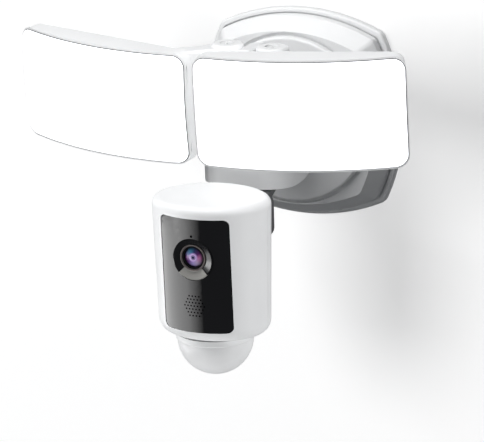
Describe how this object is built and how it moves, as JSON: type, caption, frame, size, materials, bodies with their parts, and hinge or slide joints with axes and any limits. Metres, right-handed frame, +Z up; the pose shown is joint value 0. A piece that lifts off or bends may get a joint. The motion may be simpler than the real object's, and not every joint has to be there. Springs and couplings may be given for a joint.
{
  "type": "floodlight security camera",
  "caption": "Wall floodlight security camera with flat LED heads on swivel arms, a bowed square base, and an oval tilting camera with a milky motion-sensor dome below.",
  "frame": {"origin": "on the wall plane at the middle of the base plate's back face, which is also the middle of the cable hole and of the two junction box screw holes", "axes": "+Y into the wall (out of the back of the plate), -Y the way the camera looks, +Z up, +X to the right for someone facing the wall"},
  "size_m": [0.2506, 0.1744, 0.2062],
  "materials": {
    "white_plastic": "fine matte moulded",
    "diffuser": "opal diffuser, satin",
    "milky_dome": "milky polyethylene, satin",
    "gloss_black": "polished",
    "black_plastic": "matte",
    "grey_plastic": "matte",
    "dark_plastic": "matte",
    "white_paint": "painted",
    "light_guide": "frosted",
    "bezel_metal": "satin grey-brown",
    "lens_glass": "coated",
    "ir_lens": "clear dark",
    "rubber": "soft matte",
    "foam": "closed-cell foam",
    "nylon": "smooth",
    "steel": "zinc plated",
    "aluminium": "bare",
    "circuit_board": "solder mask",
    "white_board": "white solder mask",
    "phosphor": "phosphor",
    "chip_black": "moulded epoxy"
  },
  "bodies": {
    "base": {"wall_plate": "white_plastic", "wall_gasket": "foam", "cover_shell": "white_plastic", "front_disc": "white_plastic", "neck_nut": "aluminium", "shell_screws": "steel", "driver_board": "circuit_board", "driver_parts": "black_plastic", "terminal_block": "grey_plastic", "hub_shell": "white_plastic", "hub_floor": "white_plastic", "hub_grommets": "rubber", "knuckle_screws": "white_paint", "friction_washers": "nylon", "pan_bolt": "steel"},
    "arm_right": {"arm_right": "white_plastic"},
    "arm_left": {"arm_left": "white_plastic"},
    "head_right": {"head_right_housing": "white_plastic", "head_right_diffuser": "diffuser", "head_right_seal": "rubber", "head_right_led_board": "white_board", "head_right_heat_plate": "aluminium", "head_right_leds": "phosphor", "head_right_tilt_bolt": "steel"},
    "head_left": {"head_left_housing": "white_plastic", "head_left_diffuser": "diffuser", "head_left_seal": "rubber", "head_left_led_board": "white_board", "head_left_heat_plate": "aluminium", "head_left_leds": "phosphor", "head_left_tilt_bolt": "steel"},
    "cam_bracket": {"cam_yoke": "dark_plastic", "cam_tilt_pin": "steel"},
    "camera": {"cam_front_shell": "white_plastic", "cam_rear_shell": "white_plastic", "cam_face": "gloss_black", "face_seal": "rubber", "lens_ring": "gloss_black", "light_bar": "light_guide", "lens_bezel": "bezel_metal", "lens_barrel": "black_plastic", "lens_glass": "lens_glass", "lens_inner": "lens_glass", "sensor_board": "circuit_board", "image_sensor": "chip_black", "ir_board": "circuit_board", "ir_leds": "ir_lens", "microphone": "steel", "speaker": "black_plastic", "main_board": "circuit_board", "main_chips": "chip_black", "case_screws": "steel", "pir_collar": "white_plastic", "pir_dome": "milky_dome", "pir_board": "circuit_board", "pir_sensor": "steel", "reset_switch": "black_plastic"},
    "reset_button": {"reset_button": "rubber"}
  },
  "joints": [
    {"name": "arm_right_yaw", "type": "hinge", "parent": "base", "child": "arm_right", "pos_m": [0.015, -0.082, 0.056], "axis": [0, 0, 1], "range_deg": [0, 40]},
    {"name": "arm_left_yaw", "type": "hinge", "parent": "base", "child": "arm_left", "pos_m": [-0.015, -0.082, 0.056], "axis": [0, 0, -1], "range_deg": [0, 40]},
    {"name": "head_right_tilt", "type": "hinge", "parent": "arm_right", "child": "head_right", "pos_m": [0.058, -0.1295, 0.055], "axis": [1, 0, 0], "range_deg": [-20, 40]},
    {"name": "head_left_tilt", "type": "hinge", "parent": "arm_left", "child": "head_left", "pos_m": [-0.058, -0.1295, 0.055], "axis": [1, 0, 0], "range_deg": [-20, 40]},
    {"name": "camera_pan", "type": "hinge", "parent": "base", "child": "cam_bracket", "pos_m": [0, -0.082, -0.026], "axis": [0, 0, 1], "range_deg": [-30, 30]},
    {"name": "camera_tilt", "type": "hinge", "parent": "cam_bracket", "child": "camera", "pos_m": [0, -0.1175, -0.04], "axis": [1, 0, 0], "range_deg": [-10, 25]},
    {"name": "reset_press", "type": "slide", "parent": "camera", "child": "reset_button", "axis": [0, -1, 0], "range_m": [0, 0.0008], "stiffness_N_per_m": 600}
  ]
}
